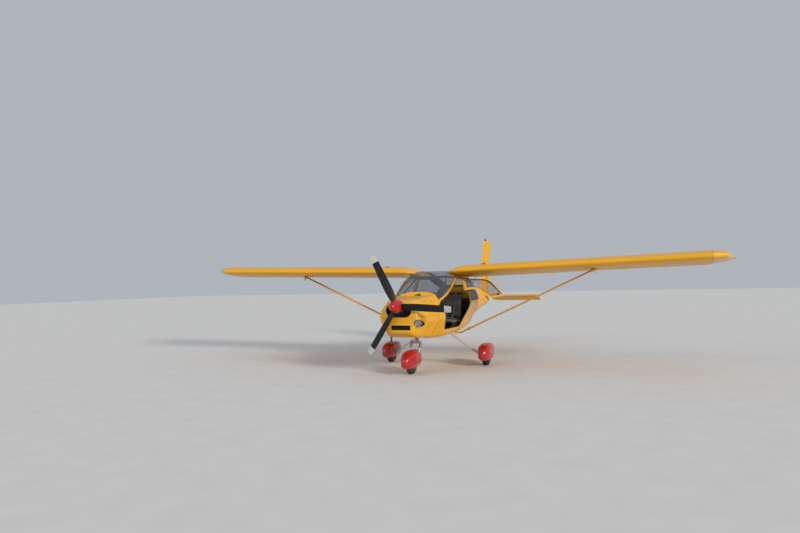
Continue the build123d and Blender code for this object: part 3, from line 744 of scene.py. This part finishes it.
def add_cowl_details():
    """Joint lines with a row of fasteners on each side, an oil hatch and a vent on the deck."""
    lines = [band(ring_on_body(cowl_rear, cowl_axis_z, 120, *cowl), 0.005, 0.0008, closed=True)]
    for sign in (-1, 1):
        front, rear = (cowl_front, cowl_split_z), (cowl_rear - 0.002, cowl_split_z)
        lines.append(band(from_side(sign, front, rear, 30, *cowl), 0.004, 0.0008))
    hatch = ((-2.50, 0.16), (-2.50, 0.30), (-2.34, 0.30), (-2.34, 0.16))
    starts = [(x, y, above) for y, x in along(hatch, 0.02)]
    lines.append(band(trace(starts, (0, 0, -1), "cowl_upper"), 0.004, 0.0008, closed=True))
    add_piece("cowl_seams", lines, *seam)
    screws = []
    for sign in (-1, 1):
        for z in (cowl_split_z - 0.025, cowl_split_z + 0.025):
            screws += on_each(from_side(sign, (-2.68, z), (-2.25, z), 5, *cowl), screw_form, 0.0065)
    screws += on_each(ring_on_body(cowl_rear - 0.022, cowl_axis_z, 30, *cowl), screw_form, 0.0065)
    button = strike((0.23, -2.36, above), (0, 0, -1), "cowl_upper")
    screws.append(lathe_form(((0.012, -0.001), (0.012, 0.002), (0.009, 0.003)), *button, 20))
    add_piece("cowl_fasteners", screws, *steel)
    vent, _ = strike((0.02, -1.955, above), (0, 0, -1), "cabin_shell")
    scoop = [box_form(vent + Vector((0, 0.005, 0.004)), (0.105, 0.07, 0.014))]
    half = Vector((0.03, 0, 0))
    for step in range(6):
        middle = vent + Vector((0, -0.02 + 0.01 * step, 0.004 + 0.018 * step / 5))
        scoop.append(sweep([middle - half, middle + half], ring_outline(0.006, 10, 0.7)))
    add_piece("deck_vent", scoop, "trim_black")


intake_z = 0.808
intake_back = -2.745


def add_radiator():
    """A finned core close behind the lower intake and a dark screen behind the upper one."""
    core = [box_form((-0.125 + step * 0.0072, -2.735, intake_z), (0.0012, 0.03, 0.085)) for step in range(44)]
    for shift in (-0.033, 0, 0.033):
        ends = (-0.135, -2.738, intake_z + shift), (0.195, -2.738, intake_z + shift)
        core.append(sweep(between(*ends, 3), ring_outline(0.004, 8)))
    add_piece("radiator_core", core, "engine_dark")
    screen = []
    for step in range(17):
        x = -0.20 + step * 0.025
        upright = between((x, intake_back, 0.985), (x, intake_back, 1.19), 4)
        screen.append(sweep(upright, ring_outline(0.0016, 6)))
    for step in range(9):
        z = 0.99 + step * 0.025
        bar = between((-0.21, intake_back - 0.003, z), (0.21, intake_back - 0.003, z), 4)
        screen.append(sweep(bar, ring_outline(0.0016, 6)))
    add_piece("intake_screen", screen, "engine_dark", extra["seal_rubber"])


lens_profile = ((0.055, 0), (0.054, 0.006), (0.046, 0.011), (0.03, 0.0145), (0.012, 0.016), (0.002, 0.0163))
bezel_profile = ((0.0535, 0), (0.0575, 0.002), (0.0575, 0.010), (0.0545, 0.012), (0.0525, 0.008))
bulb_profile = ((0.010, -0.045), (0.010, -0.03), (0.014, -0.02), (0.013, -0.008), (0.006, -0.001))


def add_landing_light():
    """A lens, a bezel and a bulb in the lamp bowl."""
    front = (0, -1, 0)
    for name, profile, closed, slot, material in (
        ("landing_lens", lens_profile, False, "lamp_glass", None),
        ("landing_bezel", bezel_profile, True, "rim_alloy", extra["bolt_steel"]),
        ("landing_bulb", bulb_profile, False, "lamp_glass", None),
    ):
        add_piece(name, [lathe_form(profile, lamp_place, front, 48, closed)], slot, material)


spinner_y = -2.842
spinner_reach = 0.3


def add_spinner_screws():
    """Screws round the rim of the spinner."""
    found = []
    hub = Vector((0, spinner_y, propeller_z))
    for step in range(12):
        turn = 2 * math.pi * (step + 0.5) / 12
        spoke = Vector((math.cos(turn), 0, math.sin(turn)))
        found.append(strike(hub + spoke * spinner_reach, -spoke, "spinner"))
    add_piece("spinner_screws", on_each(met(found), screw_form, 0.0042), *steel, "propeller")


# Wings


dihedral = math.radians(1.57)
incidence = math.radians(4.0)
wing_y, wing_z = -1.385, 1.700


def wing_point(x, s, n):
    """A point in the wing's own frame (span, chord, normal) put into the row frame, port side."""
    y = s * math.cos(incidence) + n * math.sin(incidence)
    z = -s * math.sin(incidence) + n * math.cos(incidence)
    out = x * math.cos(dihedral) - z * math.sin(dihedral)
    up = x * math.sin(dihedral) + z * math.cos(dihedral)
    return Vector((out, wing_y + y, wing_z + up))


def wing_trace(path, side, node):
    """Points where a path of (x, s) meets the wing's upper (side 1) or lower (side -1) surface."""
    inwards = wing_point(0, 0, -side) - wing_point(0, 0, 0)
    return trace([wing_point(x, s, side * 0.5) for x, s in path], inwards, node)


def chordwise(x, front, rear, count):
    return [(x, front + (rear - front) * step / (count - 1)) for step in range(count)]


rivet_size = (0.0028, 0.0014, 6)
rib_places = [0.66 + 0.3985 * step for step in range(11)]


def add_wing_details():
    """Rivet rows, joint lines, flaperon tapes and brackets, and a fuel cap on each wing."""
    lines = [chordwise(x, -0.03, 0.98, 21) for x in rib_places]
    lines += [[(0.63 + 4.0 * step / 99, s) for step in range(100)] for s in (0.06, 0.42, 0.95)]
    rivets, joints, tapes, brackets = [], [], [], []
    for side in (1, -1):
        for line in lines:
            rivets += on_each(wing_trace(line, side, "wing_port"), dome_form, *rivet_size)
        for x in (0.612, 4.648):
            joints.append(band(wing_trace(chordwise(x, -0.04, 0.98, 31), side, "wing_port"), 0.005, 0.0007))
    on_both_sides("wing_rivets", rivets, "yellow_metal")
    on_both_sides("wing_seams", joints, *seam)
    for x in rib_places:
        for side in (1, -1):
            path = chordwise(min(x, 4.62), 1.075, 1.345, 9)
            tapes.append(band(wing_trace(path, side, "flaperon_port"), 0.018, 0.0008))
    mirrored = [mirror_form(tape) for tape in tapes]
    add_piece("flaperon_tapes_port", tapes, "yellow_fabric", body="flaperon_port")
    add_piece("flaperon_tapes_starboard", mirrored, "yellow_fabric", body="flaperon_starboard")
    for x in (0.80, 2.05, 3.30, 4.55):
        upper, hinge = wing_point(x, 0.985, -0.006), wing_point(x, 1.061, -0.012)
        low = upper.lerp(hinge, 0.5) + Vector((0, 0, -0.022))
        end = hinge + Vector((0, -0.012, -0.030))
        for shift in (-0.012, 0.012):
            across = Vector((shift, 0, 0))
            brackets.append(sweep([upper + across, low + across, end + across], ring_outline(0.0045, 8, 0.5)))
    on_both_sides("flaperon_brackets", brackets, "yellow_tube")
    (place,), (normal,) = wing_trace([(0.95, 0.30)], 1, "wing_port")
    cap = ((0.040, -0.002), (0.040, 0.004), (0.035, 0.008), (0.012, 0.008), (0.010, 0.012), (0.004, 0.012))
    on_both_sides("fuel_caps", [lathe_form(cap, place, normal, 32)], "trim_black")


strut_foot = Vector((0.450, -0.915, 0.580))
strut_top = Vector((2.9997, -0.9628, 1.7527))


def add_strut_fittings():
    """A cuff with two bolts near both ends of each lift strut."""
    line = (strut_top - strut_foot).normalized()
    across = line.cross(Vector((0, 1, 0))).normalized()
    outline = [(2.2 * u, v) for u, v in ring_outline(0.0187, 24)]
    cuffs, bolts = [], []
    for point, direction in ((strut_foot + line * 0.15, line), (strut_top - line * 0.16, -line)):
        path = [point, point + direction * 0.05, point + direction * 0.075]
        cuffs.append(sweep(path, outline, [across] * 3))
        for sign in (-1, 1):
            place = point + direction * 0.035 + across * sign * 0.0185
            head = ((0.009, -0.002), (0.009, 0.006), (0.006, 0.008))
            bolts.append(lathe_form(head, place, across * sign, 6))
    on_both_sides("strut_cuffs", cuffs, "yellow_tube")
    on_both_sides("strut_bolts", bolts, *steel)


# Tail


tail_stations = (0.56, 1.05, 1.55, 2.05, 2.50)
tail_axis_z = 1.08
fin_ribs = (1.30, 1.53, 1.76, 1.99, 2.22, 2.40)
tailplane_ribs = (0.30, 0.52, 0.74, 0.96, 1.16)
tailplane_z = 1.16


def add_tapes(starts, direction, tapes, nodes):
    """Fabric tapes where one row of rays meets the fixed and the moving surface of the tail."""
    for node in nodes:
        points, normals = trace(starts, direction, node)
        if len(points) > 4:
            tapes[node].append(band((points[1:-1], normals[1:-1]), 0.020, 0.0009))


def add_tail_details():
    """Rivet rows on the cone and fabric tapes over the ribs of the tail surfaces."""
    found = [ring_on_body(y, tail_axis_z, 36, "tail_cone") for y in tail_stations]
    for sign in (-1, 1):
        for z in (1.12, 1.03):
            found.append(from_side(sign, (tail_stations[0], z), (tail_stations[-1], z), 60, "tail_cone"))
    rivets = []
    for row in found:
        rivets += on_each(row, dome_form, *rivet_size)
    add_piece("tail_rivets", rivets, "yellow_metal")
    tapes = {"fin": [], "rudder": [], "tailplane": [], "elevator": []}
    for z in fin_ribs:
        for sign in (-1, 1):
            starts = between((sign * 0.4, 2.0, z), (sign * 0.4, 3.2, z), 70)
            add_tapes(starts, (-sign, 0, 0), tapes, ("fin", "rudder"))
    for x in tailplane_ribs:
        for sign in (-1, 1):
            for side in (-1, 1):
                z = tailplane_z + side * 0.6
                starts = between((sign * x, 2.1, z), (sign * x, 3.3, z), 70)
                add_tapes(starts, (0, 0, -side), tapes, ("tailplane", "elevator"))
    for node, forms in tapes.items():
        body = node if node in ("rudder", "elevator") else "airframe"
        add_piece(node + "_tapes", forms, "yellow_fabric", body=body)


# Cabin


panel_y = -1.956
# Each dial: x, z and radius.
dials = (
    (-0.36, 1.150, 0.030), (-0.27, 1.155, 0.040), (-0.16, 1.160, 0.040), (-0.05, 1.160, 0.040),
    (0.06, 1.160, 0.040), (0.18, 1.155, 0.031), (0.27, 1.150, 0.031), (0.36, 1.145, 0.028),
    (0.23, 1.075, 0.026), (0.31, 1.072, 0.026),
)


def dial_spoke(degrees):
    turn = math.radians(degrees)
    return Vector((math.sin(turn), 0, math.cos(turn)))


def add_panel():
    """Round dials with bezels, marks and needles, a row of switches and a hood above them."""
    out = Vector((0, 1, 0))
    rings, faces, marks = [], [], []
    for number, (x, z, radius) in enumerate(dials):
        centre = Vector((x, panel_y, z))
        bezel = ((0, -0.001), (0.006, 0), (0.005, 0.007), (0.001, 0.008), (0, 0.004))
        profile = [(radius + step, height) for step, height in bezel]
        rings.append(lathe_form(profile, centre, out, 32, closed=True))
        face = ((radius, -0.001), (radius, 0.0025), (radius * 0.5, 0.0026))
        faces.append(lathe_form(face, centre, out, 32))
        for step in range(12):
            spoke = dial_spoke(-150 + step * 300 / 11) * radius
            start = centre + out * 0.0032 + spoke * 0.74
            marks.append(sweep([start, start + spoke * 0.18], ring_outline(0.0008, 5)))
        needle = dial_spoke(-120 + 47 * number % 240) * radius * 0.62
        start = centre + out * 0.0036
        marks.append(sweep([start, start + needle], ring_outline(0.0011, 5)))
    for step in range(7):
        rings.append(box_form((-0.30 + step * 0.032, panel_y + 0.006, 1.062), (0.010, 0.014, 0.018)))
    add_piece("panel_bezels", rings, "trim_black")
    add_piece("panel_dials", faces, "trim_black", extra["dial_face"])
    add_piece("panel_marks", marks, "trim_black", extra["dial_mark"])
    edge = []
    for step in range(15):
        share = step / 14
        edge.append(Vector((-0.40 + 0.80 * share, -1.935, 1.232 + 0.018 * math.sin(math.pi * share))))
    outline = [(-0.045, -0.004), (0.045, -0.004), (0.048, 0.0), (0.045, 0.004), (-0.045, 0.005), (-0.05, 0.0)]
    hood = sweep(edge, outline, [Vector((0, 0, 1))] * 15)
    add_piece("panel_hood", [hood], "trim_black")


seat_x = 0.245


def pad_form(centre, size, tilt, seed, channels):
    """A crowned closed pad: sides that pull in between its corners, sewn channels and small puckers."""
    across, up = 44, 56
    width, length, depth = size
    turn = Matrix.Rotation(tilt, 3, "X")
    verts, faces = [], []
    for side in (1, -1):
        for row in range(up + 1):
            for column in range(across + 1):
                u = -1 + 2 * column / across
                v = -1 + 2 * row / up
                edge_u = max(0.0, 1 - abs(u) ** 3.2)
                edge_v = max(0.0, 1 - abs(v) ** 4)
                crown = (edge_u * edge_v) ** 0.5
                dip = 0.0
                for line in channels:
                    away = v - line
                    dip += 0.6 * math.exp(-((away / 0.12) ** 2)) + 0.6 * math.exp(-((away / 0.03) ** 2))
                pull_u = 1 - 0.035 * (1 - v * v)
                pull_v = 1 - 0.045 * (1 - u * u)
                ripple = noise.noise(Vector((u * 5 + seed, v * 5, side))) * 0.05
                height = side * depth / 2 * crown * (1 - 0.42 * min(1, dip) * (side > 0) + ripple)
                point = Vector((u * width / 2 * pull_u, v * length / 2 * pull_v, height))
                verts.append(Vector(centre) + turn @ point)
    row_length = across + 1
    sheet = row_length * (up + 1)
    for layer in (0, 1):
        base = layer * sheet
        for row in range(up):
            for column in range(across):
                corner = base + row * row_length + column
                faces.append((corner, corner + 1, corner + row_length + 1, corner + row_length))
    rim = list(range(across + 1))
    rim += [row * row_length + across for row in range(1, up + 1)]
    rim += [up * row_length + column for column in range(across - 1, -1, -1)]
    rim += [row * row_length for row in range(up - 1, 0, -1)]
    for index, here in enumerate(rim):
        following = rim[(index + 1) % len(rim)]
        faces.append((here, following, following + sheet, here + sheet))
    edge = [verts[index].lerp(verts[index + sheet], 0.5) for index in rim]
    return (verts, faces), edge


pad_width, pad_length = 0.362, 0.432
# Each kind of pad: name, y, z, depth, tilt and where its channels run.
pad_kinds = (
    ("seat_pad_", -1.150, 0.809, 0.068, 0.0, (-0.45, 0.0, 0.45)),
    ("back_pad_", -0.8145, 1.075, 0.058, math.radians(71), (-0.5, -0.1, 0.3)),
)


def add_seats():
    """A seat pad and a back pad on each side, filled pads in place of the plain cushions."""
    for side, sign in (("port", 1), ("starboard", -1)):
        for number, (name, y, z, depth, tilt, channels) in enumerate(pad_kinds):
            size = (pad_width, pad_length, depth)
            form, edge = pad_form((sign * seat_x, y, z), size, tilt, sign * 3 + number * 7, channels)
            piping = sweep(edge, ring_outline(0.0045), closed=True)
            pad = add_piece(name + side, [form, piping], "seat_cloth")
            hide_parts("seat_cushions")


# Each row: shares of the seat's and the strap's own x, then y and z of the place and of its normal.
shoulder_path = (
    (1, 1, -0.665, 1.325, -0.3, 1),
    (1, 1, -0.700, 1.330, -0.5, 1),
    (1, 1, -0.745, 1.290, -1, 0.6),
    (1, 1, -0.800, 1.190, -1, 0.3),
    (0.995, 0.995, -0.860, 1.060, -1, 0.3),
    (0.98, 0.98, -0.905, 0.930, -1, 0.5),
    (0.96, 0.96, -0.985, 0.866, -0.4, 1),
    (1, 0.35, -1.080, 0.856, 0, 1),
)
lap_half_width = 0.186


def add_belts():
    """Two shoulder straps, a lap strap and a buckle at each seat."""
    webbing, buckles = [], []
    belt = tape_outline(0.044, 0.0022)
    for sign in (1, -1):
        for shift in (-0.07, 0.07):
            path, normals = [], []
            for seat_share, shift_share, y, z, lean, rise in shoulder_path:
                path.append(Vector((sign * seat_x * seat_share + shift * shift_share, y, z)))
                normals.append(Vector((0, lean, rise)).normalized())
            webbing.append(sweep(path, belt, normals))
        lap = []
        for step in range(17):
            turn = math.pi * step / 16
            rise = 0.062 * math.sin(turn) ** 0.4
            x = sign * seat_x + lap_half_width * math.cos(turn)
            lap.append(Vector((x, -1.0 - 0.09 * math.sin(turn), 0.800 + rise)))
        webbing.append(sweep(lap, belt, [Vector((0, -0.1, 1)).normalized()] * 17))
        buckles.append(box_form((sign * seat_x, -1.090, 0.868), (0.062, 0.052, 0.014)))
        button = ((0.014, 0), (0.014, 0.004), (0.010, 0.006))
        buckles.append(lathe_form(button, (sign * seat_x, -1.090, 0.875), (0, 0, 1), 20))
    add_piece("belt_webbing", webbing, "seat_cloth", extra["belt_webbing"])
    add_piece("belt_buckles", buckles, *steel)


stick_foot, stick_axis = (0, -1.4515, 0.651), (0, -0.11, 1)
grip_x = 0.130
pedal_places = (-0.33, -0.19, 0.19, 0.33)
lever_places = (-0.02, 0.05)


def add_controls():
    """A boot and grips on the stick, two pairs of rudder pedals and two throttle levers."""
    grips, pedals, levers = [], [], []
    folds = [(0.075 - 0.008 * step + (0.006 if step % 2 else 0), 0.008 * step) for step in range(8)]
    boot = lathe_form([(0.080, 0.0)] + folds + [(0.016, 0.066)], stick_foot, stick_axis, 28)
    add_piece("stick_boot", [boot], "trim_black")
    for x in (-grip_x, grip_x):
        base = Vector((x, -1.4995, 0.990))
        tip = Vector((x, -1.480, 1.090))
        rib = ((0.0145, 0), (0.0175, 0.002), (0.0175, 0.006), (0.0145, 0.008))
        for step in range(7):
            grips.append(lathe_form(rib, base.lerp(tip, 0.12 + step * 0.11), tip - base, 20))
        grips.append(lathe_form(((0.006, 0), (0.006, 0.006), (0.004, 0.008)), tip, tip - base, 14))
    add_piece("stick_grips", grips, "trim_black")
    for x in pedal_places:
        foot = Vector((x, -2.02, 0.652))
        plate = foot + Vector((0, -0.03, 0.12))
        pedals.append(sweep([foot, foot + Vector((0, -0.012, 0.05)), plate], ring_outline(0.006, 10)))
        for step in range(4):
            middle = plate + Vector((0, -0.008 * step, 0.012 * step))
            half = Vector((0.04, 0, 0))
            pedals.append(sweep(between(middle - half, middle + half, 3), ring_outline(0.006, 10)))
    add_piece("rudder_pedals", pedals, *steel)
    for x in lever_places:
        rod = [Vector((x, panel_y, 1.085)), Vector((x, -1.92, 1.085)), Vector((x, -1.90, 1.084))]
        levers.append(sweep(rod, ring_outline(0.004, 8)))
        knob = ((0.006, 0), (0.014, 0.004), (0.014, 0.014), (0.009, 0.019))
        levers.append(lathe_form(knob, (x, -1.905, 1.085), (0, 1, 0), 20))
    add_piece("throttle_levers", levers, "trim_black")


# Camera, floor and light

photo_width = 800
focal_pixels = 603.7
camera_place = Vector((3.836, -11.711, 1.560))
camera_yaw = math.radians(23.029)
camera_pitch = math.radians(1.381)
camera_roll = math.radians(1.276)


def add_camera():
    """The camera that the photograph was taken with, as solved from its picture."""
    ahead = Vector((
        -math.sin(camera_yaw) * math.cos(camera_pitch),
        math.cos(camera_yaw) * math.cos(camera_pitch),
        math.sin(camera_pitch),
    ))
    right = Vector((math.cos(camera_yaw), math.sin(camera_yaw), 0))
    up = right.cross(ahead)
    rolled_right = math.cos(camera_roll) * right - math.sin(camera_roll) * up
    rolled_up = math.sin(camera_roll) * right + math.cos(camera_roll) * up
    turn = Matrix((rolled_right, rolled_up, -ahead)).transposed().to_4x4()
    data = bpy.data.cameras.new("camera")
    data.sensor_width = 36
    data.lens = focal_pixels / photo_width * data.sensor_width
    data.clip_end = 300
    camera = linked("camera", data)
    camera.matrix_world = Matrix.Translation(camera_place) @ turn
    bpy.context.scene.camera = camera


def add_floor():
    half = 60
    corners = [(-half, -half, 0), (half, -half, 0), (half, half, 0), (-half, half, 0)]
    mesh = bpy.data.meshes.new("floor")
    mesh.from_pydata(corners, [], [(0, 1, 2, 3)])
    floor = linked("floor", mesh)
    material, tree, shader = new_material("floor")
    texture = object_noise(tree, 3, 4)
    base = ramp(tree, texture, "Fac", ((0.3, (0.66, 0.65, 0.64)), (0.7, (0.70, 0.69, 0.68))))
    wire(tree, base, "Color", shader, "Base Color")
    shader.inputs["Roughness"].default_value = 0.9
    mesh.materials.append(material)


def add_sun(name, direction, strength, softness, colour):
    data = bpy.data.lights.new(name, "SUN")
    data.energy = strength
    data.angle = math.radians(softness)
    data.color = colour
    lamp = linked(name, data)
    lamp.location = direction
    lamp.rotation_euler = (-Vector(direction)).to_track_quat("-Z", "Y").to_euler()


sky_colour = (0.86, 0.92, 1.0)
sky_strength = 0.5
warm, cool = (1, 0.93, 0.82), (0.92, 0.96, 1)


def light_scene():
    world = bpy.data.worlds.new("world")
    bpy.context.scene.world = world
    world.use_nodes = True
    background = world.node_tree.nodes["Background"]
    set_inputs(background, {"Color": (*sky_colour, 1), "Strength": sky_strength})
    add_sun("key", direction=(12, -6, 5), strength=2.3, softness=12, colour=warm)
    add_sun("fill", direction=(-7, -9, 6), strength=0.55, softness=40, colour=cool)
    bpy.context.scene.view_settings.view_transform = "Standard"


add_seals()
add_door_fittings()
add_wheels()
add_spat_screws()
add_gear_fittings()
add_cowl_details()
add_radiator()
add_landing_light()
add_spinner_screws()
add_wing_details()
add_strut_fittings()
add_tail_details()
add_panel()
add_seats()
add_belts()
add_controls()
add_camera()
add_floor()
light_scene()
